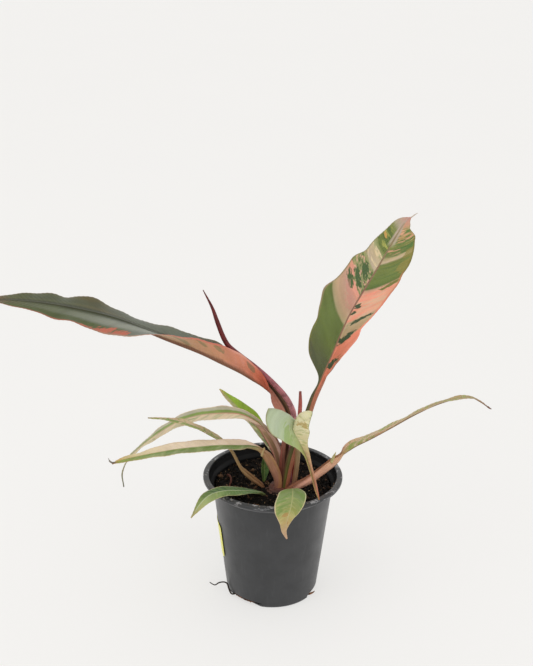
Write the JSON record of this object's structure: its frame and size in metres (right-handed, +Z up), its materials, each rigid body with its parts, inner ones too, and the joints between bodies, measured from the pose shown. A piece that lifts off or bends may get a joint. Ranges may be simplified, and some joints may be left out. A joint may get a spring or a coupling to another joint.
{
  "type": "potted caramel marble philodendron",
  "caption": "Young potted aroid house plant with long, narrow, cream, pink and green marbled leaves in a round grey nursery pot.",
  "frame": {"origin": "centre of the pot's flat floor, on the surface the pot stands on", "axes": "+Z up, +X to the plant's right as seen from the front, -Y to the front"},
  "size_m": [0.4175, 0.1634, 0.3154],
  "materials": {
    "pot_plastic": "satin charcoal moulded polypropylene, lightly scuffed at the rim",
    "soil": "near black damp potting mix with bark and grit",
    "sticker_film": "plain bright yellow film, no print",
    "stem": "reddish brown fleshy stem",
    "leaf_olive": "satin olive leaf with coral margins and a salmon underside",
    "leaf_marbled_pink": "satin leaf marbled dark green, cream and salmon pink",
    "leaf_pale": "satin pale grey green and cream leaf",
    "leaf_tan": "satin tan, olive and pink streaked leaf",
    "leaf_cream_green": "satin leaf with cream and green lengthwise stripes",
    "leaf_green": "satin mid green leaf with paler streaks",
    "new_growth_red": "satin maroon new growth",
    "root": "dry dark brown root"
  },
  "bodies": {
    "root": {"pot": "pot_plastic", "soil": "soil", "sticker": "sticker_film", "crown": "stem", "leaf_arching_large": "leaf_olive", "leaf_upright": "leaf_marbled_pink", "leaf_folded_front": "leaf_pale", "leaf_reaching_right": "leaf_tan", "leaf_low_left": "leaf_cream_green", "leaf_arching_left": "leaf_cream_green", "leaf_back_green": "leaf_green", "leaf_thin_left": "leaf_green", "leaf_small_left": "leaf_green", "leaf_small_front": "leaf_pale", "leaf_tiny_back": "leaf_green", "new_leaf_spear": "new_growth_red", "red_cataphyll": "new_growth_red", "root_wisp": "root", "soil_twig": "root"}
  },
  "joints": []
}
